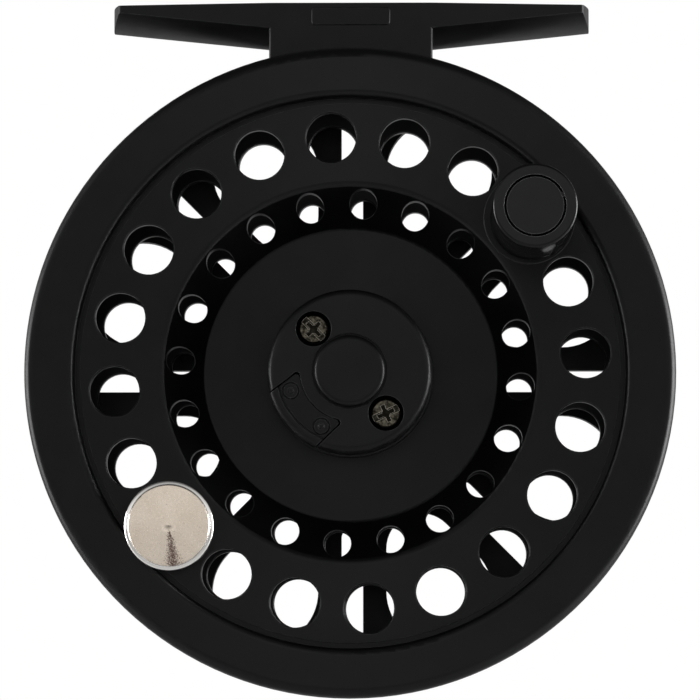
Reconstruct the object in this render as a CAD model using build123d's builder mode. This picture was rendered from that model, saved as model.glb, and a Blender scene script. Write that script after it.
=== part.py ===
from build123d import *
from math import cos, radians, sin
import os

# Fly reel. Millimetres. +X to the right, +Y from the spool face into the reel, +Z up.
# The origin is the centre of the foot's flat top, where a rod's reel seat bears on it.
# Depths are measured along +Y from the spool face, radii from the spindle axis.

# ---- driving dimensions ----
rim_r = 43.5
foot_length = 65.0
foot_width = 14.0
spindle_z = -50.7
face_y = -15.0

# Spool
rim_inner_r = 36.8
rim_front = -2.0
rim_back = 1.6
skirt_r = 41.8
skirt_back = 6.0
flange_t = 1.8
groove_w = 0.7
groove_d = 0.5
dish_r = 25.17
dish_floor_r = 19.79
dish_floor = 6.7
web_back = 8.7
arbor_r = 20.6
arbor_inner_r = 18.8
spigot_r = 19.7
back_flange_r = 37.9
back_flange_front = 18.0
back_flange_back = 20.0

hole_step = 18.0
outer_pitch_r = 31.58
outer_hole_r = 3.33
outer_hole_start = 4.6
inner_pitch_r = 22.88
inner_hole_r = 1.86
inner_hole_start = 13.6
hole_chamfer = 0.15

handle_angle = 40.6
weight_angle = 220.6

# Spindle and drive
spindle_r = 3.0
running = 0.05
spindle_front = -0.9
spindle_back = 31.4
thread_r = 2.5
thread_front = 27.0
groove_r = 2.3
groove_front = 0.3
groove_back = 1.6
drive_r = 6.5
drive_front = 10.0
drive_back = 20.2
drive_flange_r = 12.0
drive_flange_front = 18.6
lug_r = 8.5
lug_root_r = 5.0
lug_w = 3.0
lug_back = 12.0
lug_play = 0.1
clutch_r = 4.5
gear_front = 17.0
gear_tip_r = 12.6
gear_root_r = 11.9
gear_teeth = 40

# Frame
plate_front = 22.6
plate_back = 25.4
frame_r = 43.0
cage_inner_r = 38.4
cage_front_r = 41.4
cage_front = 3.4
cage_step = 6.6
cage_back = 8.6
lip_front = 20.8
spokes = 8
spoke_half_w = 4.7
spoke_slot_half_w = 1.49
slot_inner_r = 20.1
slot_outer_r = 37.4
window_inner_r = 24.9
window_outer_r = 31.4
pillar_r = 2.0
pillar_pitch_r = 40.9
pillar_angles = (15, 165, 210, 250, 290, 330)
bridge_half_w = 11.1
bridge_h = 6.8
boss_r = 11.5
boss_back = 27.0
bushing_r = 4.4

# Hub cover and latch
cover_r = 10.9
cover_edge_round = 0.9
cover_base_r = 11.2
cover_base_front = 5.9
cover_front = -3.1
cover_wall_r = 9.5
cover_under = -1.5
screw_pitch_r = 7.4
screw_angles = (130.6, 310.6)
screw_slot_turns = (-45, 25)
screw_recess_r = 2.36
screw_seat_front = -2.3
screw_seat_r = 1.9
screw_recess_back = -1.2
screw_boss_r = 2.8
screw_head_r = 1.86
screw_head_front = -2.75
screw_slot_w = 0.95
screw_slot_back = -2.4
screw_cross_w = 0.55
screw_cross_length = 2.4
screw_cross_back = -1.7
screw_core_r = 1.0
cap_r = 4.75
cap_round = 0.7
cap_front = -4.5
cap_seat_r = 3.6
cap_groove_r = 5.02
cap_groove_back = -2.6
latch_inner_r = 6.7
latch_lip_r = 9.7
latch_inner_half_w = 4.43
latch_outer_half_w = 4.8
latch_back = 1.9
latch_play = 0.2
latch_corner_r = 0.5
latch_panel_front = -2.7
latch_groove_w = 0.22
latch_groove_back = -2.35
latch_proud = 0.2
rivet_pitch_r = 8.27
rivet_spread = 22.2
rivet_r = 1.05
rivet_shank_r = 0.6
rivet_sink_r = 1.2
rivet_sink_back = -2.4

# Handle and counterweight
handle_boss_r = 6.1
handle_boss_front = -1.0
handle_shift = (0.32, -0.1)
knob_front = -21.0
knob_r = 5.5
knob_edge_round = 0.4
knob_waist_r = 4.9
knob_flare_r = 5.6
knob_cap_r = 4.05
pin_r = 1.6
weight_r = 6.0
weight_face_r = 5.4
weight_front = -4.6
weight_shoulder = -3.9
weight_screw_r = 1.25
weight_screw_head_r = 2.3
weight_bore_front = -2.9

# Foot
foot_edge_root = 3.4
foot_edge_tip = 1.2
foot_tip_fall = 0.35
foot_belly = 2.15
foot_tip_bow = 1.0

# Drag knob
drag_knob_r = 12.0
drag_knob_front = 27.3
drag_knob_back = 34.6
drag_cap_r = 3.8
drag_scallops = 18
scallop_r = 1.6


def across(depth):
    """Plane square to the spindle axis, seen from the front: x to the right, y up, normal forward."""
    return Plane(origin=(0, face_y + depth, spindle_z), x_dir=(1, 0, 0), z_dir=(0, -1, 0))


def polar(radius, angle):
    """Point at a radius and angle about the spindle axis, in a plane from across()."""
    return (radius * cos(radians(angle)), radius * sin(radians(angle)))


def lathe(*corners, at=(0, 0), mode=Mode.ADD):
    """Turn a closed outline about the spindle axis, or about the parallel axis through at.

    Each corner is (radius, depth) or (radius, depth, rounding).
    """
    points = [corner[:2] for corner in corners]
    roundings = [corner[2] if len(corner) == 3 else 0 for corner in corners]
    centre = (at[0], face_y, spindle_z + at[1])
    with BuildSketch(Plane(origin=centre, x_dir=(1, 0, 0), z_dir=(0, 0, 1))) as outline:
        with BuildLine():
            FilletPolyline(*points, radius=roundings, close=True)
        make_face()
    revolve(outline.sketch, axis=Axis(centre, (0, 1, 0)), mode=mode)


def ring(inner_r, outer_r, front, back, at=(0, 0)):
    """Plain ring about the spindle axis, or about the parallel axis through at."""
    lathe((inner_r, front), (outer_r, front), (outer_r, back), (inner_r, back), at=at)


def drill(radius, front, back, centres, mode=Mode.SUBTRACT):
    """Round holes, or posts, parallel to the spindle from depth front to depth back."""
    with BuildSketch(across(back)) as circles:
        with Locations(*centres):
            Circle(radius)
    extrude(circles.sketch, amount=back - front, mode=mode)


def bars(width, height, front, back, centre_r, angles, mode=Mode.ADD):
    """Rectangular bars, width along the radius, at centre_r on each of the angles."""
    with BuildSketch(across(back)) as section:
        for angle in angles:
            with Locations(Location((*polar(centre_r, angle), 0), (0, 0, angle))):
                Rectangle(width, height)
    extrude(section.sketch, amount=back - front, mode=mode)


def outer_holes():
    """Centres of the large holes, one place each being left for the handle and the counterweight."""
    angles = [outer_hole_start + hole_step * k for k in range(round(360 / hole_step))]
    kept = [a for a in angles if abs(a - handle_angle) > 1 and abs(a - weight_angle) > 1]
    return [polar(outer_pitch_r, a) for a in kept]


def inner_holes():
    """Centres of the small holes in the dish, set half a step round from the large ones."""
    angles = [inner_hole_start + hole_step * k for k in range(round(360 / hole_step))]
    return [polar(inner_pitch_r, a) for a in angles]


def break_hole_edges(part, radius, depths):
    """Chamfer the rims of round holes at the given depths."""
    for depth in depths:
        rims = (
            part.edges()
            .filter_by(GeomType.CIRCLE)
            .filter_by(lambda e: abs(e.radius - radius) < 0.01)
            .filter_by(lambda e, y=face_y + depth: abs(e.center().Y - y) < 0.01)
        )
        chamfer(rims, hole_chamfer)


def finish(part, node):
    """Label a finished piece and write it out."""
    part.part.label = node
    export_step(part.part, f"parts/{node}.step")


os.makedirs("parts", exist_ok=True)
boss_at = polar(outer_pitch_r, handle_angle)
handle_at = (boss_at[0] + handle_shift[0], boss_at[1] + handle_shift[1])
weight_at = polar(outer_pitch_r, weight_angle)
screw_at = [polar(screw_pitch_r, a) for a in screw_angles]
drive_angles = [weight_angle - 180 + 120 * k for k in range(3)]

# ---- frame: back plate with slotted spokes, pillars, front ring and the bridge under the foot ----
foot_screw_x = 6.0
foot_screw_r = 1.5
foot_screw_head_r = 2.5
foot_screw_head_t = 1.5
foot_screw_hex_r = 1.1
foot_screw_head_z = spindle_z + 40.2
foot_thread_length = 4.2
pawl_pivot_r = 16.0
pawl_at = polar(pawl_pivot_r, 90)
pawl_post_r = 2.0
pawl_screw_r = 1.0
detent_at = polar(9.5, 90)
detent_r = 0.95
detent_depth = 2.8
with BuildPart() as frame:
    lathe((0, plate_front), (frame_r, plate_front), (frame_r, plate_back, 1.0), (0, plate_back))
    ring(cage_inner_r, frame_r, lip_front, plate_front)
    with BuildSketch(across(plate_back)) as windows:
        for index in range(spokes):
            middle = 360 / spokes * (index + 0.5)
            half_step = radians(180 / spokes)
            with BuildSketch(mode=Mode.PRIVATE) as window:
                with Locations(polar(window_inner_r, middle)):
                    Circle(window_inner_r * sin(half_step) - spoke_half_w)
                with Locations(polar(window_outer_r, middle)):
                    Circle(window_outer_r * sin(half_step) - spoke_half_w)
                make_hull()
            add(window.sketch)
            along = 360 / spokes * index
            slot_at = polar((slot_inner_r + slot_outer_r) / 2, along)
            with Locations(Location((*slot_at, 0), (0, 0, along))):
                SlotOverall(slot_outer_r - slot_inner_r, 2 * spoke_slot_half_w)
    extrude(amount=plate_back - plate_front, mode=Mode.SUBTRACT)
    lathe(
        (cage_inner_r, cage_front),
        (cage_front_r, cage_front, 0.4),
        (cage_front_r, cage_step),
        (frame_r, cage_step),
        (frame_r, cage_back),
        (cage_inner_r, cage_back),
    )
    pillar_at = [polar(pillar_pitch_r, a) for a in pillar_angles]
    drill(pillar_r, cage_back - 0.5, lip_front + 0.5, pillar_at, Mode.ADD)
    with BuildSketch(across(plate_back)) as bridge:
        with Locations((0, frame_r)):
            Rectangle(2 * bridge_half_w, bridge_h, align=(Align.CENTER, Align.MAX))
        Circle(cage_inner_r, mode=Mode.SUBTRACT)
    extrude(amount=plate_back - cage_step)
    lathe((0, plate_back), (boss_r, plate_back), (boss_r, boss_back, 0.5), (0, boss_back))
    drill(pawl_post_r, drive_flange_front + 0.1, plate_front, [pawl_at], Mode.ADD)
    drill(bushing_r, plate_front, boss_back, [(0, 0)])
    drill(pawl_screw_r, drive_flange_front, plate_back, [pawl_at])
    drill(detent_r, boss_back - detent_depth, boss_back, [detent_at])
    with BuildSketch(Plane.XY.offset(spindle_z + frame_r)):
        with Locations((-foot_screw_x, 0), (foot_screw_x, 0)):
            Circle(foot_screw_r)
    extrude(amount=-bridge_h - 1, mode=Mode.SUBTRACT)
    with BuildSketch(Plane.XY.offset(foot_screw_head_z)):
        with Locations((-foot_screw_x, 0), (foot_screw_x, 0)):
            Circle(foot_screw_head_r + 0.1)
    extrude(amount=-bridge_h, mode=Mode.SUBTRACT)
finish(frame, "frame")

# ---- foot: flat top falling a little to the tips, bowed belly, arms thinning outwards, pedestal ----
foot_corner_r = 0.5
pedestal_edge_r = 0.4
pedestal_foot_z = spindle_z + frame_r


def foot_section(x, top, edge):
    """Cross-section of the foot at x: flat top, upright edges, belly bowed below them."""
    half = foot_width / 2
    with BuildSketch(Plane.YZ.offset(x)) as section:
        with BuildLine():
            Polyline((-half, -edge), (-half, top), (half, top), (half, -edge))
            ThreePointArc((half, -edge), (0, -edge - foot_belly), (-half, -edge))
        make_face()
    return section.sketch


with BuildPart() as reel_foot:
    for side in (-1, 1):
        root = foot_section(side * bridge_half_w, 0, foot_edge_root)
        tip = foot_section(side * foot_length / 2, -foot_tip_fall, foot_edge_tip)
        loft([root, tip])
    extrude(foot_section(-bridge_half_w, 0, foot_edge_root), amount=2 * bridge_half_w)
    with BuildSketch(Plane.XY) as plan:
        with BuildLine():
            corner_x = foot_length / 2 - foot_tip_bow
            corner_y = foot_width / 2
            Line((-corner_x, -corner_y), (corner_x, -corner_y))
            ThreePointArc((corner_x, -corner_y), (foot_length / 2, 0), (corner_x, corner_y))
            Line((corner_x, corner_y), (-corner_x, corner_y))
            ThreePointArc((-corner_x, corner_y), (-foot_length / 2, 0), (-corner_x, -corner_y))
        make_face()
        fillet(plan.vertices(), foot_corner_r)
    extrude(amount=-foot_edge_root - foot_belly - 1, mode=Mode.INTERSECT)
    with BuildSketch(Plane.XY.offset(pedestal_foot_z)):
        RectangleRounded(2 * bridge_half_w, foot_width, pedestal_edge_r)
    extrude(amount=-pedestal_foot_z - foot_edge_root)
    with BuildSketch(Plane.XY.offset(pedestal_foot_z)):
        with Locations((-foot_screw_x, 0), (foot_screw_x, 0)):
            Circle(foot_screw_r)
    extrude(amount=foot_thread_length, mode=Mode.SUBTRACT)
finish(reel_foot, "reel_foot")

with BuildPart() as foot_screws:
    with BuildSketch(Plane.XY.offset(foot_screw_head_z)):
        with Locations((-foot_screw_x, 0), (foot_screw_x, 0)):
            Circle(foot_screw_head_r)
    extrude(amount=-foot_screw_head_t)
    with BuildSketch(Plane.XY.offset(foot_screw_head_z)):
        with Locations((-foot_screw_x, 0), (foot_screw_x, 0)):
            Circle(foot_screw_r)
    extrude(amount=pedestal_foot_z - foot_screw_head_z + foot_thread_length - 0.2)
    with BuildSketch(Plane.XY.offset(foot_screw_head_z - foot_screw_head_t)):
        with Locations((-foot_screw_x, 0), (foot_screw_x, 0)):
            RegularPolygon(foot_screw_hex_r, 6)
    extrude(amount=0.6 * foot_screw_head_t, mode=Mode.SUBTRACT)
finish(foot_screws, "foot_screws")

foot_plate_length = 10.7
foot_plate_h = 2.4
foot_plate_z = -1.85
with BuildPart() as foot_plate:
    with BuildSketch(Plane(origin=(0, -foot_width / 2, foot_plate_z), x_dir=(1, 0, 0), z_dir=(0, -1, 0))):
        RectangleRounded(foot_plate_length, foot_plate_h, 0.5)
    extrude(amount=0.25)
    chamfer(foot_plate.faces().sort_by(Axis.Y)[0].edges(), 0.1)
finish(foot_plate, "foot_plate")

# ---- spindle and what is fixed with it ----
clip_front = 9.1
clip_t = 0.8
clip_r = 3.9
clip_mouth = 2.4
with BuildPart() as spindle:
    lathe(
        (0, spindle_front),
        (spindle_r - 0.6, spindle_front),
        (spindle_r, spindle_front + 0.6),
        (spindle_r, groove_front),
        (groove_r, groove_front),
        (groove_r, groove_back),
        (spindle_r, groove_back),
        (spindle_r, clip_front),
        (groove_r, clip_front),
        (groove_r, clip_front + clip_t),
        (spindle_r, clip_front + clip_t),
        (spindle_r, thread_front),
        (thread_r, thread_front),
        (thread_r, spindle_back - 0.4),
        (thread_r - 0.4, spindle_back),
        (0, spindle_back),
    )
finish(spindle, "spindle")

with BuildPart() as spindle_clip:
    ring(groove_r, clip_r, clip_front, clip_front + clip_t)
    bars(spindle_r + 2, clip_mouth, clip_front, clip_front + clip_t, spindle_r + 1, [90], Mode.SUBTRACT)
finish(spindle_clip, "spindle_clip")

with BuildPart() as frame_bushing:
    ring(spindle_r, bushing_r, plate_front, boss_back)
finish(frame_bushing, "frame_bushing")

drag_washer_inner_r = 5.6
drag_washer_r = 11.8
with BuildPart() as drag_washer:
    ring(drag_washer_inner_r, drag_washer_r, drive_back, plate_front)
finish(drag_washer, "drag_washer")

# Three disc springs stacked face to back, dished alternately, between the frame and the drag nut
disc_t = 0.6
disc_rise = 0.4
disc_inner_r = 3.15
disc_outer_r = 5.6
with BuildPart() as disc_springs:
    for index in range(3):
        front = boss_back + 0.02 + index * (disc_t + disc_rise + 0.02)
        inner = front + (disc_rise if index % 2 else 0)
        outer = front + (0 if index % 2 else disc_rise)
        lathe(
            (disc_inner_r, inner),
            (disc_outer_r, outer),
            (disc_outer_r, outer + disc_t),
            (disc_inner_r, inner + disc_t),
        )
finish(disc_springs, "disc_springs")

ball_r = 0.9
ball_depth = drag_knob_front - running - ball_r
with BuildPart() as detent_ball:
    with Locations((detent_at[0], face_y + ball_depth, spindle_z + detent_at[1])):
        Sphere(ball_r)
finish(detent_ball, "detent_ball")


def coil_spring(wire_r, coil_r, turns, start, direction, length):
    """Round-wire helical spring from start along direction."""
    with BuildLine() as path:
        Helix(pitch=length / turns, height=length, radius=coil_r, center=start, direction=direction)
    tangent = path.line % 0
    with BuildSketch(Plane(origin=path.line @ 0, z_dir=tangent)) as wire:
        Circle(wire_r)
    sweep(wire.sketch, path=path.line, is_frenet=True)


detent_wire_r = 0.12
detent_coil_r = 0.65
detent_spring_front = boss_back - detent_depth + 0.2
detent_spring_back = ball_depth - ball_r - 0.15
with BuildPart() as detent_spring:
    coil_spring(
        detent_wire_r,
        detent_coil_r,
        3,
        (detent_at[0], face_y + detent_spring_front, spindle_z + detent_at[1]),
        (0, 1, 0),
        detent_spring_back - detent_spring_front,
    )
finish(detent_spring, "detent_spring")

# ---- click pawl on its post ----
pawl_front = 17.1
pawl_back = 18.5
pawl_eye_r = 1.9
pawl_half_w = 1.7
pawl_tail = 4.2
pawl_tail_w = 1.6
pawl_nose = gear_tip_r + 0.15
with BuildPart() as click_pawl:
    drill(pawl_eye_r, pawl_front, pawl_back, [pawl_at], Mode.ADD)
    with BuildSketch(across(pawl_back)):
        with BuildLine():
            Polyline(
                (0, pawl_nose),
                (pawl_half_w, pawl_pivot_r - 0.6),
                (pawl_half_w / 2, pawl_pivot_r + 0.6),
                (-pawl_half_w / 2, pawl_pivot_r + 0.6),
                (-pawl_half_w, pawl_pivot_r - 0.6),
                close=True,
            )
        make_face()
    extrude(amount=pawl_back - pawl_front)
    bars(pawl_tail_w, pawl_tail, pawl_front, pawl_back, pawl_pivot_r + 0.6, [90])
    drill(pawl_screw_r + running, pawl_front, pawl_back, [pawl_at])
finish(click_pawl, "click_pawl")

pawl_screw_head_r = 1.7
pawl_screw_head_t = 0.8
pawl_screw_front = pawl_front - 0.1 - pawl_screw_head_t
with BuildPart() as pawl_screw:
    drill(pawl_screw_r, pawl_front - 0.1, plate_back - 0.6, [pawl_at], Mode.ADD)
    drill(pawl_screw_head_r, pawl_screw_front, pawl_front - 0.1, [pawl_at], Mode.ADD)
    with BuildSketch(across(pawl_screw_front)):
        with Locations(pawl_at):
            Rectangle(2 * pawl_screw_head_r + 0.2, pawl_screw_r / 2)
    extrude(amount=-pawl_screw_head_t / 2, mode=Mode.SUBTRACT)
finish(pawl_screw, "pawl_screw")

pawl_wire_r = 0.2
pawl_coil_r = 2.35
pawl_spring_length = 2.4
with BuildPart() as pawl_spring:
    coil_spring(
        pawl_wire_r,
        pawl_coil_r,
        3,
        (pawl_at[0], face_y + pawl_back + 0.5, spindle_z + pawl_at[1]),
        (0, 1, 0),
        pawl_spring_length,
    )
finish(pawl_spring, "pawl_spring")

# ---- drive hub, turning on the spindle and driving the spool through three lugs ----
gear_screw_at = [polar(9.6, weight_angle + 60 + 120 * k) for k in range(3)]
gear_screw_r = 0.8
gear_screw_head_r = 1.4
gear_screw_head_t = 0.7
clutch_back = 18.0
with BuildPart() as drive_hub:
    lathe(
        (spindle_r + running, drive_front),
        (drive_r, drive_front, 0.3),
        (drive_r, drive_flange_front),
        (drive_flange_r, drive_flange_front),
        (drive_flange_r, drive_back),
        (spindle_r + running, drive_back),
    )
    bars(lug_r - lug_root_r, lug_w, drive_front, lug_back, (lug_r + lug_root_r) / 2, drive_angles)
    drill(clutch_r, drive_front, clutch_back, [(0, 0)])
    drill(gear_screw_r, drive_flange_front, drive_back, gear_screw_at)
finish(drive_hub, "drive_hub")

with BuildPart() as roller_clutch:
    ring(spindle_r + running, clutch_r, drive_front + 0.2, clutch_back)
finish(roller_clutch, "roller_clutch")

with BuildPart() as click_gear:
    with BuildSketch(across(drive_flange_front)) as teeth:
        with BuildLine():
            step = 360 / gear_teeth
            outline = []
            for index in range(gear_teeth):
                outline.append(polar(gear_root_r, index * step))
                outline.append(polar(gear_tip_r, (index + 0.5) * step))
            Polyline(*outline, close=True)
        make_face()
        Circle(drive_r, mode=Mode.SUBTRACT)
        with Locations(*gear_screw_at):
            Circle(gear_screw_r, mode=Mode.SUBTRACT)
    extrude(amount=drive_flange_front - gear_front)
finish(click_gear, "click_gear")

with BuildPart() as gear_screws:
    drill(gear_screw_r, gear_front, drive_back - 0.3, gear_screw_at, Mode.ADD)
    drill(gear_screw_head_r, gear_front - gear_screw_head_t, gear_front, gear_screw_at, Mode.ADD)
    with BuildSketch(across(gear_front - gear_screw_head_t)):
        with Locations(*gear_screw_at):
            Rectangle(2 * gear_screw_head_r + 0.2, gear_screw_r / 2)
    extrude(amount=-gear_screw_head_t / 2, mode=Mode.SUBTRACT)
finish(gear_screws, "gear_screws")

# ---- spool: drilled face, raised rim with its skirt, conical dish, web, arbor and hub bosses ----
slope = (dish_r - dish_floor_r) / dish_floor
cone_back_r = dish_r + 1.4
cone_back = 1.13
web_at_arbor = cone_back + (cone_back_r - arbor_r) / slope
flange_meets_cone = cone_back_r - slope * (flange_t - cone_back)
front_boss = 2.6
front_boss_r = 4.5
rear_boss_r = 9.8
rear_boss_back = 13.5
bushing_out_r = 3.9
with BuildPart() as spool:
    lathe(
        (bushing_out_r, dish_floor),
        (dish_floor_r, dish_floor, 0.5),
        (dish_r, 0, 1.0),
        (rim_inner_r - groove_w, 0),
        (rim_inner_r - groove_w, groove_d),
        (rim_inner_r, groove_d),
        (rim_inner_r, rim_front, 1.0),
        (rim_r, rim_front, 1.4),
        (rim_r, skirt_back, 0.4),
        (skirt_r, skirt_back),
        (skirt_r, rim_back),
        (rim_inner_r + 0.8, rim_back),
        (rim_inner_r + 0.6, flange_t),
        (flange_meets_cone, flange_t, 1.0),
        (arbor_r, web_at_arbor, 1.0),
        (arbor_r, back_flange_front),
        (spigot_r, back_flange_front),
        (spigot_r, back_flange_back),
        (arbor_inner_r, back_flange_back),
        (arbor_inner_r, web_back),
        (bushing_out_r, web_back),
    )
    ring(bushing_out_r, front_boss_r, front_boss, dish_floor)
    ring(drive_r + lug_play, rear_boss_r, web_back, rear_boss_back)
    slot_length = lug_r + lug_play - lug_root_r
    slot_at = lug_root_r + slot_length / 2
    slot_front = drive_front - lug_play
    bars(slot_length, lug_w + lug_play, slot_front, rear_boss_back, slot_at, drive_angles, Mode.SUBTRACT)
    drill(outer_hole_r, 0, flange_t, outer_holes())
    break_hole_edges(spool, outer_hole_r, (0, flange_t))
    drill(inner_hole_r, -1, 17, inner_holes())
    drill(handle_boss_r + 0.2, rim_front - 0.1, 0, [boss_at])
    drill(weight_r + 0.05, rim_front - 0.1, 0, [weight_at])
    drill(handle_boss_r, handle_boss_front, 0, [boss_at], Mode.ADD)
    drill(pin_r, handle_boss_front, flange_t, [handle_at])
    drill(weight_screw_r, 0, flange_t, [weight_at])
    drill(screw_core_r, dish_floor, drive_front - 0.1, screw_at)
finish(spool, "spool")

with BuildPart() as spool_back_flange:
    lathe(
        (spigot_r, back_flange_front),
        (back_flange_r, back_flange_front, 0.5),
        (back_flange_r, back_flange_back, 0.5),
        (spigot_r, back_flange_back),
    )
    drill(outer_hole_r, back_flange_front, back_flange_back, outer_holes())
    drill(inner_hole_r, back_flange_front, back_flange_back, inner_holes())
    break_hole_edges(spool_back_flange, outer_hole_r, (back_flange_front, back_flange_back))
    break_hole_edges(spool_back_flange, inner_hole_r, (back_flange_front,))
finish(spool_back_flange, "spool_back_flange")

with BuildPart() as spool_bushing:
    ring(spindle_r + running, bushing_out_r, front_boss, web_back)
finish(spool_bushing, "spool_bushing")


# ---- hub cover, its screws and its centre cap ----
def latch_wedge(play, reach):
    """The latch's two sides, opening a little outwards, seen from the front."""
    inner_w = latch_inner_half_w + play
    outer_w = latch_outer_half_w + play
    upper = [(0, inner_w), (latch_inner_r, inner_w), (reach, outer_w)]
    lower = [(x, -y) for x, y in upper]
    with BuildSketch(mode=Mode.PRIVATE) as wedge:
        with Locations(Rotation(0, 0, weight_angle)):
            Polygon(*lower, *reversed(upper), align=None)
    return wedge.sketch


def latch_outline(play):
    """The latch seen from the front: the wedge outside its inner arc, with rounded inner corners."""
    with BuildSketch(mode=Mode.PRIVATE) as outline:
        add(latch_wedge(play, cover_r + 1))
        Circle(latch_inner_r - play / 2, mode=Mode.SUBTRACT)
        inner_corners = outline.vertices().sort_by_distance((0, 0))[:2]
        fillet(inner_corners, latch_corner_r)
    return outline.sketch


with BuildPart() as hub_cover:
    lathe(
        (cap_seat_r, cap_groove_back),
        (cap_groove_r, cap_groove_back),
        (cap_groove_r, cover_front),
        (cover_r, cover_front, cover_edge_round),
        (cover_r, cover_base_front),
        (cover_base_r, cover_base_front, 0.15),
        (cover_base_r, dish_floor),
        (cover_wall_r, dish_floor),
        (cover_wall_r, cover_under),
        (cap_seat_r, cover_under),
    )
    drill(screw_boss_r, cover_under - 0.5, dish_floor, screw_at, Mode.ADD)
    for seat_at in screw_at:
        lathe(
            (0, cover_front),
            (screw_recess_r, cover_front),
            (screw_recess_r, screw_seat_front),
            (screw_seat_r, screw_recess_back),
            (0, screw_recess_back),
            at=seat_at,
            mode=Mode.SUBTRACT,
        )
    drill(screw_core_r, screw_recess_back, dish_floor, screw_at)
    with BuildSketch(across(latch_back + 0.1)) as window:
        add(latch_outline(latch_play))
    extrude(window.sketch, amount=latch_back + 0.1 - cover_front, mode=Mode.SUBTRACT)
finish(hub_cover, "hub_cover")

with BuildPart() as hub_screws:
    for head_at, turn in zip(screw_at, screw_slot_turns):
        lathe(
            (0, screw_head_front),
            (screw_head_r, screw_head_front, 0.25),
            (screw_head_r, screw_recess_back),
            (screw_core_r, screw_recess_back),
            (screw_core_r, drive_front - 0.5),
            (0, drive_front - 0.2),
            at=head_at,
        )
        along_slot = Location((*head_at, 0), (0, 0, turn))
        with BuildSketch(across(screw_slot_back)) as slot:
            with Locations(along_slot):
                Rectangle(3 * screw_head_r, screw_slot_w)
        extrude(slot.sketch, amount=screw_slot_back - cover_front, mode=Mode.SUBTRACT)
        with BuildSketch(across(screw_cross_back)) as cross:
            with Locations(along_slot):
                Rectangle(screw_cross_length, screw_cross_w)
                Rectangle(screw_cross_w, screw_cross_length)
                Circle(screw_cross_w)
        extrude(cross.sketch, amount=screw_cross_back - cover_front, mode=Mode.SUBTRACT)
finish(hub_screws, "hub_screws")

with BuildPart() as hub_cap:
    lathe(
        (0, cap_front),
        (cap_r, cap_front, cap_round),
        (cap_r, cap_groove_back),
        (cap_seat_r, cap_groove_back),
        (cap_seat_r, cover_under),
        (0, cover_under),
    )
finish(hub_cap, "hub_cap")

# ---- sliding release latch, its rivets and its spring ----
catch_front = 0.4
catch_back = 1.5
catch_r = 7.5
spring_post_t = 0.85
spring_post_w = 2.4
spring_post_at = 5.5
spring_post_back = 4.2
rivet_at = [polar(rivet_pitch_r, weight_angle + side * rivet_spread) for side in (-1, 1)]
with BuildPart() as release_latch:
    lathe(
        (catch_r - 1.5, latch_panel_front),
        (latch_lip_r - latch_groove_w, latch_panel_front),
        (latch_lip_r - latch_groove_w, latch_groove_back),
        (latch_lip_r, latch_groove_back),
        (latch_lip_r + 0.1, cover_front),
        (cover_r + latch_proud, cover_front, cover_edge_round),
        (cover_r + latch_proud, latch_back),
        (catch_r - 1.5, latch_back),
    )
    with BuildSketch(across(latch_back)) as outline:
        add(latch_outline(0))
    extrude(outline.sketch, amount=latch_back - cover_front, mode=Mode.INTERSECT)
    with BuildSketch(across(catch_back)) as catch:
        add(latch_wedge(-0.1, catch_r + 0.5))
        Circle(spindle_r + 0.15, mode=Mode.SUBTRACT)
        Circle(catch_r, mode=Mode.INTERSECT)
    extrude(catch.sketch, amount=catch_back - catch_front)
    bars(spring_post_t, spring_post_w, catch_back - 0.2, spring_post_back, spring_post_at, [weight_angle])
    drill(rivet_shank_r, cover_front, latch_back, rivet_at)
    drill(rivet_sink_r, latch_panel_front, rivet_sink_back, rivet_at)
finish(release_latch, "release_latch")

with BuildPart() as latch_rivets:
    for centre in rivet_at:
        lathe(
            (0, latch_panel_front),
            (0.3, latch_panel_front),
            (0.45, latch_panel_front - 0.14),
            (rivet_r - 0.1, latch_panel_front - 0.14),
            (rivet_r, latch_panel_front),
            (rivet_r, rivet_sink_back),
            (rivet_shank_r, rivet_sink_back),
            (rivet_shank_r, latch_back),
            (0, latch_back),
            at=centre,
        )
finish(latch_rivets, "latch_rivets")

latch_line = (cos(radians(weight_angle)), 0, sin(radians(weight_angle)))
spring_from = 6.1
spring_to = 9.3
spring_depth = 3.2
latch_wire_r = 0.2
latch_coil_r = 0.75
with BuildPart() as latch_spring:
    spring_start = (
        spring_from * latch_line[0],
        face_y + spring_depth,
        spindle_z + spring_from * latch_line[2],
    )
    coil_spring(latch_wire_r, latch_coil_r, 3, spring_start, latch_line, spring_to - spring_from)
finish(latch_spring, "latch_spring")

# ---- handle: pin riveted through the flange, washer, turned knob and its cap ----
washer_t = 0.25
washer_r = 3.4
knob_back = handle_boss_front - washer_t - running
pin_head_r = 2.7
pin_head_front = -18.9
pin_head_back = -17.4
rivet_head_r = 2.3
cap_seat = -19.8
cap_nick_r = 0.42
cap_nick_angle = 22
with BuildPart() as handle_pin:
    lathe(
        (0, pin_head_front),
        (pin_head_r, pin_head_front, 0.3),
        (pin_head_r, pin_head_back),
        (pin_r, pin_head_back),
        (pin_r, flange_t),
        (rivet_head_r, flange_t),
        (rivet_head_r, flange_t + 0.4, 0.3),
        (0, flange_t + 0.8),
        at=handle_at,
    )
finish(handle_pin, "handle_pin")

with BuildPart() as handle_washer:
    ring(pin_r, washer_r, handle_boss_front - washer_t, handle_boss_front, at=handle_at)
finish(handle_washer, "handle_washer")

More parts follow.
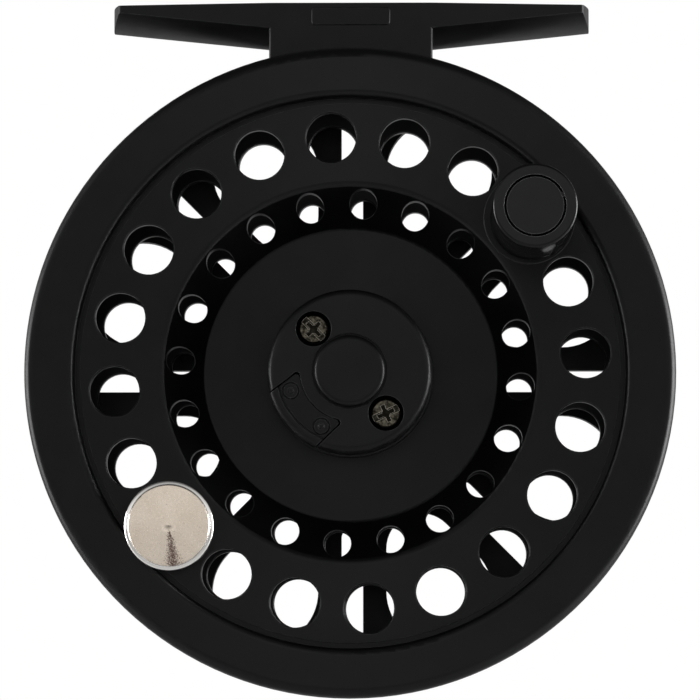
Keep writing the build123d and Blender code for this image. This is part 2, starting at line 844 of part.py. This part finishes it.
pin_head_bore_r = pin_head_r + 0.1
with BuildPart() as handle_knob:
    centre = (handle_at[0], face_y, spindle_z + handle_at[1])
    with BuildSketch(Plane(origin=centre, x_dir=(1, 0, 0), z_dir=(0, 0, 1))):
        with BuildLine():
            flare_edge = (knob_flare_r, knob_back - 0.5)
            front_edge = (knob_r, knob_front + knob_edge_round)
            face_edge = (knob_r - knob_edge_round, knob_front)
            Line((pin_r + running, knob_back), (knob_flare_r - 0.5, knob_back))
            RadiusArc((knob_flare_r - 0.5, knob_back), flare_edge, 0.5)
            Spline(
                flare_edge,
                (5.2, knob_back - 3.6),
                (knob_waist_r, knob_back - 9.0),
                (5.15, knob_back - 14.5),
                front_edge,
                tangents=[(-0.4, -1), (0.05, -1)],
            )
            RadiusArc(front_edge, face_edge, knob_edge_round)
            Polyline(
                face_edge,
                (knob_cap_r, knob_front),
                (knob_cap_r, cap_seat),
                (pin_head_bore_r, cap_seat),
                (pin_head_bore_r, pin_head_back + running),
                (pin_r + running, pin_head_back + running),
                (pin_r + running, knob_back),
            )
        make_face()
    revolve(axis=Axis(centre, (0, 1, 0)))
finish(handle_knob, "handle_knob")

with BuildPart() as handle_cap:
    lathe(
        (0, knob_front + 0.1),
        (knob_cap_r - 0.35, knob_front + 0.1),
        (knob_cap_r - 0.12, knob_front + 0.35),
        (knob_cap_r, knob_front + 0.45),
        (knob_cap_r, cap_seat),
        (0, cap_seat),
        at=handle_at,
    )
    nick_x, nick_y = polar(knob_cap_r, cap_nick_angle)
    drill(cap_nick_r, knob_front, knob_front + 0.7, [(handle_at[0] + nick_x, handle_at[1] + nick_y)])
finish(handle_cap, "handle_cap")

# ---- counterweight and its screw ----
with BuildPart() as counterweight:
    lathe(
        (0, weight_front - 0.12),
        (weight_face_r, weight_front, 0.2),
        (weight_face_r + 0.06, weight_shoulder),
        (weight_r, weight_shoulder + 0.15, 0.4),
        (weight_r, -0.3),
        (weight_r - 0.3, 0),
        (weight_screw_r, 0),
        (weight_screw_r, weight_bore_front),
        (0, weight_bore_front),
        at=weight_at,
    )
finish(counterweight, "counterweight")

with BuildPart() as counterweight_screw:
    lathe(
        (0, weight_bore_front + 0.2),
        (weight_screw_r, weight_bore_front + 0.2),
        (weight_screw_r, flange_t),
        (weight_screw_head_r, flange_t),
        (weight_screw_head_r, flange_t + 1.1, 0.3),
        (0, flange_t + 1.3),
        at=weight_at,
    )
    with BuildSketch(across(flange_t + 1.3)):
        with Locations(weight_at):
            Rectangle(5, 0.5)
    extrude(amount=0.6, mode=Mode.SUBTRACT)
finish(counterweight_screw, "counterweight_screw")

# ---- drag knob on the rear, with its nut and its cap ----
nut_front = 30.1
nut_back = 33.0
nut_r = 4.6
with BuildPart() as drag_knob:
    lathe(
        (6.4, drag_knob_front),
        (drag_knob_r, drag_knob_front, 0.5),
        (drag_knob_r, drag_knob_back, 1.2),
        (drag_cap_r, drag_knob_back),
        (drag_cap_r, nut_back),
        (2.8, nut_back),
        (2.8, nut_front),
        (6.4, nut_front),
    )
    with BuildSketch(across(nut_back)):
        RegularPolygon(nut_r, 6)
    extrude(amount=nut_back - nut_front, mode=Mode.SUBTRACT)
    scallop_at = [polar(drag_knob_r + 1.1, 360 / drag_scallops * k) for k in range(drag_scallops)]
    drill(scallop_r, drag_knob_front, drag_knob_back, scallop_at)
finish(drag_knob, "drag_knob")

with BuildPart() as drag_nut:
    with BuildSketch(across(nut_back)):
        RegularPolygon(nut_r, 6)
        Circle(thread_r + running, mode=Mode.SUBTRACT)
    extrude(amount=nut_back - nut_front)
finish(drag_nut, "drag_nut")

with BuildPart() as drag_cap:
    lathe(
        (0, nut_back),
        (drag_cap_r, nut_back),
        (drag_cap_r, drag_knob_back),
        (drag_cap_r - 0.5, drag_knob_back + 0.4),
        (0, drag_knob_back + 0.6),
    )
finish(drag_cap, "drag_cap")
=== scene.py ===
import math

import bpy
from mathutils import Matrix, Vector


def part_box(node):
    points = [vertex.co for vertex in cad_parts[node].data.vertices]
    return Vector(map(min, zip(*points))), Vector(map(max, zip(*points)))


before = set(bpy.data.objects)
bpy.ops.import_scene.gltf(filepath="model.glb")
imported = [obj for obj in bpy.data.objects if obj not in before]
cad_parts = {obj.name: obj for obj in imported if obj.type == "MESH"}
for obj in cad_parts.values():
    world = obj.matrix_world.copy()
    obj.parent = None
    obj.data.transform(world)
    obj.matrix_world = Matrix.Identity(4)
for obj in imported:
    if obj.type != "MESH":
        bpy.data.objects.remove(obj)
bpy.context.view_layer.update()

# ---- places, in metres, read from the frame ----
SPOOL_LOW, SPOOL_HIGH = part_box("spool")
SPINDLE_X = (SPOOL_LOW.x + SPOOL_HIGH.x) / 2
SPINDLE_Z = (SPOOL_LOW.z + SPOOL_HIGH.z) / 2
FACE_Y = -0.015  # the spool's flat drilled face

# ---- surface detail: noise scales in cells per metre, lengths in metres ----
BLAST_GRAIN = 9000
BLACK_CLOUDS = 140
HANDLING_SMEARS = 420
# patches along the pale edges: partly rubbed wear, partly painted highlight
EDGE_WEAR_AND_HIGHLIGHT_PATCHES = 600
BLACK_TURNING_PITCH = 0.00016
BLACK_GRAIN_HEIGHT = 0.000003
PLASTIC_HAZE = 300
PLASTIC_SCUFFS = 2600
PLASTIC_RIPPLE = 700
PLASTIC_RIPPLE_HEIGHT = 0.000003
NICKEL_CLOUDS = 260
NICKEL_POLISH = 3000
NICKEL_SPECKS = 5600
NICKEL_GROOVE_HEIGHT = 0.0000012
METAL_CLOUDS = 500
METAL_SCRATCHES = 3500
METAL_SCRATCH_HEIGHT = 0.000004
BRONZE_PATCHES = 1900
BRONZE_POLISH = 2600
BRONZE_PITS = 3200
BRONZE_PIT_HEIGHT = 0.00002
CORK_GRANULES = 1100
CORK_PORE_DEPTH = 0.00008
FINE_TURNING_PITCH = 0.00012
# width of the pale band along black edges: partly rubbed wear, partly painted highlight
EDGE_WEAR_AND_HIGHLIGHT = 0.00012
SOFT_EDGE = 0.0001
# width of the pale band along screw-head edges: partly wear, partly painted highlight
SCREW_WEAR_AND_HIGHLIGHT_EDGE = 0.00009
SCREW_SOFT_EDGE = 0.00008

# ---- the counterweight's polished rim, and its tarnish specks crowded into a wedge of painted dark reflection ----
RIM_STARTS = 0.89  # share of the counterweight's radius
RIM_FULL = 0.91
RIM_SHINE = 0.17  # how much smoother the rim is than the face
WEDGE_SLANT = 0.14  # sideways per unit down
WEDGE_CORE = 0.05
WEDGE_EDGE = 0.38
WEDGE_CROWDING = 0.24
WEDGE_FADE_IN = (0.0001, 0.0009)  # distance below the middle
ABOVE_ZERO = 0.00002


# ---- small helpers for node materials ----
def set_span(node, *numbers):
    """Set a Map Range node's ends: from low, from high, to low, to high."""
    for socket, number in zip(("From Min", "From Max", "To Min", "To Max"), numbers):
        node.inputs[socket].default_value = number


class Shader:
    """A material's node tree with one Principled shader, and short ways to add nodes to it."""

    def __init__(self, name):
        self.material = bpy.data.materials.new(name)
        self.material.use_nodes = True
        self.tree = self.material.node_tree
        self.tree.nodes.clear()
        self.output = self.add("ShaderNodeOutputMaterial")
        self.surface = self.add("ShaderNodeBsdfPrincipled")
        self.link(self.surface.outputs["BSDF"], self.output.inputs["Surface"])
        self.point = self.add("ShaderNodeTexCoord").outputs["Object"]

    def add(self, kind, **settings):
        node = self.tree.nodes.new(kind)
        for key, value in settings.items():
            setattr(node, key, value)
        return node

    def link(self, source, target):
        self.tree.links.new(source, target)

    def set(self, **values):
        for key, value in values.items():
            self.surface.inputs[key.replace("_", " ")].default_value = value

    def feed(self, node, socket, value):
        if hasattr(value, "links"):
            self.link(value, node.inputs[socket])
        else:
            node.inputs[socket].default_value = value

    def maths(self, operation, first, second=0.0):
        node = self.add("ShaderNodeMath", operation=operation)
        self.feed(node, 0, first)
        self.feed(node, 1, second)
        return node.outputs[0]

    def noise(self, scale, detail=3.0, roughness=0.5, point=None):
        node = self.add("ShaderNodeTexNoise")
        self.link(point or self.point, node.inputs["Vector"])
        node.inputs["Scale"].default_value = scale
        node.inputs["Detail"].default_value = detail
        node.inputs["Roughness"].default_value = roughness
        return node.outputs["Fac"]

    def span(self, value, low, high, to_low, to_high):
        """Map value from low..high to to_low..to_high, held inside that range."""
        node = self.add("ShaderNodeMapRange", clamp=True)
        self.link(value, node.inputs["Value"])
        set_span(node, low, high, to_low, to_high)
        return node.outputs[0]

    def colours(self, value, *stops):
        """Colour ramp of (position, (r, g, b)) stops."""
        node = self.add("ShaderNodeValToRGB")
        self.link(value, node.inputs["Fac"])
        ramp = node.color_ramp.elements
        ramp[0].position, ramp[0].color = stops[0][0], (*stops[0][1], 1)
        ramp[1].position, ramp[1].color = stops[-1][0], (*stops[-1][1], 1)
        for position, colour in stops[1:-1]:
            ramp.new(position).color = (*colour, 1)
        return node.outputs["Color"]

    def mix(self, amount, first, second):
        node = self.add("ShaderNodeMix", data_type="RGBA")
        self.feed(node, 0, amount)
        self.feed(node, 6, first)
        self.feed(node, 7, second)
        return node.outputs[2]

    def radius_about(self, x, z):
        """Distance from the line along Y through x, z."""
        parts = self.add("ShaderNodeSeparateXYZ")
        self.link(self.point, parts.inputs[0])
        across = self.maths("SUBTRACT", parts.outputs["X"], x)
        up = self.maths("SUBTRACT", parts.outputs["Z"], z)
        squares = self.maths("ADD", self.maths("MULTIPLY", across, across), self.maths("MULTIPLY", up, up))
        return self.maths("SQRT", squares)

    def rings(self, x, z, pitch):
        """Fine turning marks about that line: 0 to 1 and back over each pitch."""
        wobble = self.maths("MULTIPLY", self.noise(900, 2), pitch * 0.8)
        turned = self.maths("ADD", self.radius_about(x, z), wobble)
        wave = self.maths("SINE", self.maths("MULTIPLY", turned, 2 * math.pi / pitch))
        return self.maths("MULTIPLY_ADD", wave, 0.5)

    def edges(self, radius):
        """0 on open faces, up to 1 along convex and concave edges within that radius."""
        rounded = self.add("ShaderNodeBevel", samples=6)
        rounded.inputs["Radius"].default_value = radius
        flat = self.add("ShaderNodeNewGeometry")
        dot = self.add("ShaderNodeVectorMath", operation="DOT_PRODUCT")
        self.link(rounded.outputs[0], dot.inputs[0])
        self.link(flat.outputs["Normal"], dot.inputs[1])
        return self.span(dot.outputs["Value"], 0.995, 0.93, 0.0, 1.0)

    def turn(self):
        """Draw highlights out across turning marks about the object's Y axis."""
        tangent = self.add("ShaderNodeTangent", direction_type="RADIAL", axis="Y")
        self.link(tangent.outputs[0], self.surface.inputs["Tangent"])

    def relief(self, height, distance, strength=1.0, bevel=0.0):
        """Bump of that real height, on edges softened by a bevel of that radius."""
        bump = self.add("ShaderNodeBump")
        bump.inputs["Strength"].default_value = strength
        bump.inputs["Distance"].default_value = distance
        self.link(height, bump.inputs["Height"])
        if bevel:
            rounded = self.add("ShaderNodeBevel", samples=4)
            rounded.inputs["Radius"].default_value = bevel
            self.link(rounded.outputs[0], bump.inputs["Normal"])
        self.link(bump.outputs[0], self.surface.inputs["Normal"])


def satin_black(name, tone=1.0, roughness=0.36, centre=None, edge=EDGE_WEAR_AND_HIGHLIGHT):
    """Black anodised aluminium: blasted grain, small changes of tone, bright edges that are partly rubbed
    wear and partly painted highlight.

    With a centre the face is turned: fine rings, and the highlight drawn out across them.
    """
    s = Shader(name)
    cloud = s.noise(BLACK_CLOUDS, 4, 0.6)
    grain = s.noise(BLAST_GRAIN, 2, 0.7)
    dark = tuple(0.0016 * tone * k for k in (1.0, 1.0, 1.04))
    light = tuple(0.0034 * tone * k for k in (1.0, 1.0, 1.04))
    black = s.colours(cloud, (0.3, dark), (0.7, light))
    patches = s.span(s.noise(EDGE_WEAR_AND_HIGHLIGHT_PATCHES, 4, 0.7), 0.35, 0.6, 0.25, 1.0)
    # edges go pale grey: partly rubbed wear, partly a painted highlight along the edges
    lightened = s.maths("MULTIPLY", s.edges(edge), patches)
    s.link(s.mix(lightened, black, (0.075, 0.076, 0.08, 1)), s.surface.inputs["Base Color"])
    smears = s.span(s.noise(HANDLING_SMEARS, 5, 0.65), 0.3, 0.7, -0.04, 0.04)
    blasted = s.span(grain, 0.2, 0.8, roughness - 0.03, roughness + 0.03)
    s.link(s.maths("ADD", smears, blasted), s.surface.inputs["Roughness"])
    height = grain
    if centre:
        marks = s.maths("MULTIPLY", s.rings(*centre, BLACK_TURNING_PITCH), 0.5)
        height = s.maths("ADD", grain, marks)
        s.turn()
        s.set(Anisotropic=0.75)
    s.relief(height, BLACK_GRAIN_HEIGHT, 1.0, edge)
    s.set(IOR=1.5, Specular_IOR_Level=0.22)
    return s.material


def gloss_black(name):
    """Glossy black moulded plastic with faint haze, hairline scuffs and a painted highlight along its
    edges.
    """
    s = Shader(name)
    haze = s.noise(PLASTIC_HAZE, 4, 0.6)
    black = s.colours(haze, (0.3, (0.002, 0.002, 0.0022)), (0.7, (0.0045, 0.0045, 0.005)))
    # pale grey along the edges: a painted highlight on the rounded rims
    s.link(s.mix(s.edges(SOFT_EDGE), black, (0.22, 0.22, 0.225, 1)), s.surface.inputs["Base Color"])
    scuffs = s.noise(PLASTIC_SCUFFS, 6, 0.75)
    s.link(s.span(scuffs, 0.35, 0.75, 0.1, 0.24), s.surface.inputs["Roughness"])
    s.relief(s.noise(PLASTIC_RIPPLE, 3), PLASTIC_RIPPLE_HEIGHT, 0.4, SOFT_EDGE)
    s.set(IOR=1.49, Specular_IOR_Level=0.26)
    return s.material


def turned_nickel(name, x, z, radius):
    """Warm nickel: a turned, slightly pitted face inside a polished rim.

    Tarnish specks are scattered over the face; a painted dark reflection crowds them thickest in a wedge
    below its middle.
    """
    s = Shader(name)
    rim = s.span(s.radius_about(x, z), RIM_STARTS * radius, RIM_FULL * radius, 0.0, 1.0)
    parts = s.add("ShaderNodeSeparateXYZ")
    s.link(s.point, parts.inputs[0])
    right = s.maths("SUBTRACT", parts.outputs["X"], x)
    below = s.maths("MAXIMUM", s.maths("SUBTRACT", z, parts.outputs["Z"]), ABOVE_ZERO)
    # the wedge below the middle is a painted dark reflection; the specks scattered elsewhere are tarnish
    slant = s.maths("SUBTRACT", s.maths("DIVIDE", right, below), WEDGE_SLANT)
    wedge = s.span(s.maths("ABSOLUTE", slant), WEDGE_CORE, WEDGE_EDGE, WEDGE_CROWDING, 0.0)
    started = s.span(below, *WEDGE_FADE_IN, 0.0, 1.0)
    crowd = s.maths("MULTIPLY", wedge, started)
    specks = s.span(s.maths("ADD", s.noise(NICKEL_SPECKS, 3, 0.8), crowd), 0.655, 0.70, 0.0, 0.92)
    marks = s.maths("MULTIPLY", specks, s.maths("SUBTRACT", 1.0, rim))
    face = s.colours(s.noise(NICKEL_CLOUDS, 4, 0.6), (0.3, (0.84, 0.725, 0.60)), (0.7, (0.94, 0.825, 0.70)))
    polished = s.mix(rim, face, (0.95, 0.93, 0.90, 1))
    # dark specks: tarnish, crowded into a painted dark reflection inside the wedge
    s.link(s.mix(marks, polished, (0.10, 0.045, 0.04, 1)), s.surface.inputs["Base Color"])
    turned = s.span(s.noise(NICKEL_POLISH, 3, 0.7), 0.3, 0.7, 0.24, 0.34)
    s.link(s.maths("SUBTRACT", turned, s.maths("MULTIPLY", rim, RIM_SHINE)), s.surface.inputs["Roughness"])
    grooves = s.maths("ADD", s.rings(x, z, FINE_TURNING_PITCH), s.maths("MULTIPLY", marks, -2.0))
    height = s.maths("MULTIPLY", grooves, s.maths("SUBTRACT", 1.0, rim))
    s.relief(height, NICKEL_GROOVE_HEIGHT, 0.5, SOFT_EDGE)
    s.set(Metallic=1.0)
    return s.material


def metal(name, dark, light, roughness, pitch=None):
    """Plain machined metal with tonal variation, micro-scratches and soft edges."""
    s = Shader(name)
    tones = s.colours(s.noise(METAL_CLOUDS, 4, 0.65), (0.3, dark), (0.7, light))
    s.link(tones, s.surface.inputs["Base Color"])
    scratch = s.noise(METAL_SCRATCHES, 5, 0.7)
    s.link(s.span(scratch, 0.3, 0.7, roughness - 0.07, roughness + 0.08), s.surface.inputs["Roughness"])
    height = s.rings(SPINDLE_X, SPINDLE_Z, pitch) if pitch else scratch
    s.relief(height, METAL_SCRATCH_HEIGHT, 0.6, SOFT_EDGE)
    s.set(Metallic=1.0)
    return s.material


def aged_bronze(name, front_y):
    """Bronzed screw heads: rubbed light on top, bright edges that are partly wear and partly painted
    highlight, and darker down in the slots, partly patina and partly painted shade.
    """
    s = Shader(name)
    patches = s.noise(BRONZE_PATCHES, 4, 0.7)
    lightened = s.colours(patches, (0.40, (0.014, 0.012, 0.008)), (0.66, (0.17, 0.157, 0.12)))
    depth = s.add("ShaderNodeSeparateXYZ")
    s.link(s.point, depth.inputs[0])
    # darker with depth into the slots: partly patina, partly painted shade
    slot_shade_and_patina = s.span(depth.outputs["Y"], front_y + 0.0001, front_y + 0.0004, 0.0, 0.9)
    body = s.mix(slot_shade_and_patina, lightened, (0.008, 0.007, 0.005, 1))
    # pale along the edges: partly wear, partly painted highlight
    s.link(s.mix(s.edges(SCREW_WEAR_AND_HIGHLIGHT_EDGE), body, (0.55, 0.51, 0.43, 1)), s.surface.inputs["Base Color"])
    s.link(s.span(s.noise(BRONZE_POLISH, 4, 0.7), 0.3, 0.7, 0.22, 0.42), s.surface.inputs["Roughness"])
    s.relief(s.noise(BRONZE_PITS, 4, 0.7), BRONZE_PIT_HEIGHT, 0.7, SCREW_SOFT_EDGE)
    s.set(Metallic=1.0)
    return s.material


def cork(name):
    """Pressed cork: tan granules with dark pores."""
    s = Shader(name)
    cells = s.add("ShaderNodeTexVoronoi")
    s.link(s.point, cells.inputs["Vector"])
    cells.inputs["Scale"].default_value = CORK_GRANULES
    grain = cells.outputs["Distance"]
    s.link(
        s.colours(grain, (0.0, (0.52, 0.33, 0.17)), (0.5, (0.42, 0.25, 0.12)), (0.9, (0.16, 0.08, 0.035))),
        s.surface.inputs["Base Color"],
    )
    s.link(s.span(s.noise(2000, 4), 0.3, 0.7, 0.75, 0.95), s.surface.inputs["Roughness"])
    s.relief(grain, CORK_PORE_DEPTH, 0.5)
    return s.material


def wear(node, material):
    """Give a CAD node its material."""
    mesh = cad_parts[node].data
    mesh.materials.clear()
    mesh.materials.append(material)


def middle(node):
    low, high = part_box(node)
    return (low + high) / 2


spindle_centre = (SPINDLE_X, SPINDLE_Z)
weight = middle("counterweight")
weight_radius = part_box("counterweight")[1].x - weight.x
black_turned = satin_black("satin_black_turned", 1.0, 0.36, spindle_centre)
black_blasted = satin_black("satin_black_blasted", 1.0, 0.38)
black_cover = satin_black("satin_black_cover", 1.15, 0.36)
black_latch = satin_black("satin_black_latch", 1.1, 0.38)
steel = metal("steel", (0.42, 0.43, 0.44), (0.62, 0.63, 0.64), 0.3)
steel_turned = metal("steel_turned", (0.45, 0.45, 0.46), (0.63, 0.63, 0.64), 0.25, FINE_TURNING_PITCH)
dark_steel = metal("dark_steel", (0.10, 0.10, 0.105), (0.2, 0.2, 0.21), 0.35)
bronze = aged_bronze("bronze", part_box("hub_screws")[0].y)
brass = metal("brass", (0.55, 0.37, 0.14), (0.74, 0.56, 0.26), 0.3, FINE_TURNING_PITCH)

finishes = {
    black_turned: ("spool", "spool_back_flange"),
    black_blasted: ("frame", "reel_foot", "drag_knob", "drag_cap", "foot_plate"),
    black_cover: ("hub_cover", "hub_cap"),
    black_latch: ("release_latch", "latch_rivets"),
    gloss_black("gloss_black"): ("handle_knob", "handle_cap", "handle_washer"),
    turned_nickel("nickel", weight.x, weight.z, weight_radius): ("counterweight",),
    bronze: ("hub_screws",),
    steel: (
        "foot_screws",
        "spindle_clip",
        "detent_ball",
        "gear_screws",
        "handle_pin",
        "counterweight_screw",
    ),
    steel_turned: ("spindle", "roller_clutch", "drive_hub"),
    dark_steel: (
        "disc_springs",
        "click_gear",
        "click_pawl",
        "pawl_screw",
        "pawl_spring",
        "latch_spring",
        "detent_spring",
    ),
    brass: ("frame_bushing", "spool_bushing", "drag_nut"),
    cork("cork"): ("drag_washer",),
}
for material, nodes in finishes.items():
    for node in nodes:
        wear(node, material)


# ---- floor, light and camera ----
FLOOR_Z = -0.16
FLOOR_HALF = 2.5
DIMS_OVER_HEIGHT = (0.25, 0.75)  # upward or downward share of the direction
DIMS_OVER_DEPTH = (-0.3, 0.5)  # rearward share of the direction
LIT_POINT = (0, 0, -0.05)
LOW_LIT_POINT = (0, -0.02, -0.05)
SOFTBOX_SIZE = (0.7, 0.6)
STRIP_SIZE = (0.12, 0.35)


def make_floor():
    mesh = bpy.data.meshes.new("floor")
    h = FLOOR_HALF
    corners = [(-h, -h, FLOOR_Z), (h, -h, FLOOR_Z), (h, h, FLOOR_Z), (-h, h, FLOOR_Z)]
    mesh.from_pydata(corners, [], [(0, 1, 2, 3)])
    floor = bpy.data.objects.new("floor", mesh)
    bpy.context.scene.collection.objects.link(floor)
    s = Shader("floor")
    pale = s.colours(s.noise(3, 2), (0.3, (0.86, 0.86, 0.86)), (0.7, (0.9, 0.9, 0.9)))
    s.link(pale, s.surface.inputs["Base Color"])
    s.set(Roughness=0.85)
    mesh.materials.append(s.material)


def area_light(name, place, target, width, height, power):
    light = bpy.data.lights.new(name, "AREA")
    light.shape = "RECTANGLE"
    light.size, light.size_y = width, height
    light.energy = power
    lamp = bpy.data.objects.new(name, light)
    lamp.location = place
    lamp.rotation_mode = "QUATERNION"
    lamp.rotation_quaternion = (Vector(target) - Vector(place)).to_track_quat("-Z", "Y")
    bpy.context.scene.collection.objects.link(lamp)


def make_world(seen, level, poles, rear):
    """Studio air: pale where the camera sees past the object; as a light, dim above, below and behind."""
    world = bpy.data.worlds.new("studio")
    bpy.context.scene.world = world
    world.use_nodes = True
    tree = world.node_tree
    tree.nodes.clear()
    add = tree.nodes.new
    direction = add("ShaderNodeTexCoord")
    parts = add("ShaderNodeSeparateXYZ")
    tree.links.new(direction.outputs["Generated"], parts.inputs[0])
    height = add("ShaderNodeMath")
    height.operation = "ABSOLUTE"
    tree.links.new(parts.outputs["Z"], height.inputs[0])
    by_height = add("ShaderNodeMapRange")
    by_depth = add("ShaderNodeMapRange")
    tree.links.new(height.outputs[0], by_height.inputs["Value"])
    tree.links.new(parts.outputs["Y"], by_depth.inputs["Value"])
    set_span(by_height, *DIMS_OVER_HEIGHT, level, poles)
    set_span(by_depth, *DIMS_OVER_DEPTH, 1.0, rear)
    strength = add("ShaderNodeMath")
    strength.operation = "MULTIPLY"
    tree.links.new(by_height.outputs[0], strength.inputs[0])
    tree.links.new(by_depth.outputs[0], strength.inputs[1])
    rays = add("ShaderNodeLightPath")
    pale = add("ShaderNodeBackground")
    dim = add("ShaderNodeBackground")
    choose = add("ShaderNodeMixShader")
    out = add("ShaderNodeOutputWorld")
    pale.inputs["Color"].default_value = (seen, seen, seen, 1)
    dim.inputs["Color"].default_value = (1, 1, 1, 1)
    tree.links.new(strength.outputs[0], dim.inputs["Strength"])
    tree.links.new(rays.outputs["Is Camera Ray"], choose.inputs[0])
    tree.links.new(dim.outputs[0], choose.inputs[1])
    tree.links.new(pale.outputs[0], choose.inputs[2])
    tree.links.new(choose.outputs[0], out.inputs["Surface"])


CAMERA_DISTANCE = 0.660
CAMERA_X = 0.0091
CAMERA_DROP = 0.0371
AIM_RISE = 0.00297
PICTURE_WIDTH = 0.0935
SENSOR = 36.0


def make_camera():
    place = Vector((CAMERA_X, FACE_Y - CAMERA_DISTANCE, SPINDLE_Z - CAMERA_DROP))
    target = Vector((0, FACE_Y, SPINDLE_Z + AIM_RISE))
    data = bpy.data.cameras.new("camera")
    data.sensor_width = SENSOR
    data.lens = SENSOR * (target - place).length / PICTURE_WIDTH
    data.clip_start, data.clip_end = 0.01, 50
    camera = bpy.data.objects.new("camera", data)
    camera.location = place
    camera.rotation_mode = "QUATERNION"
    camera.rotation_quaternion = (target - place).to_track_quat("-Z", "Y")
    bpy.context.scene.collection.objects.link(camera)
    bpy.context.scene.camera = camera


make_floor()
make_world(seen=1.0, level=0.80, poles=0.11, rear=0.5)
area_light("left_softbox", (-0.75, 0.10, -0.15), LIT_POINT, *SOFTBOX_SIZE, power=5)
area_light("right_softbox", (0.75, 0.10, -0.10), LIT_POINT, *SOFTBOX_SIZE, power=8)
area_light("low_left_strip", (-0.30, -0.02, -0.14), LOW_LIT_POINT, *STRIP_SIZE, power=0.9)
area_light("low_right_strip", (0.30, -0.02, -0.14), LOW_LIT_POINT, *STRIP_SIZE, power=1.3)
make_camera()
bpy.context.scene.view_settings.view_transform = "Standard"
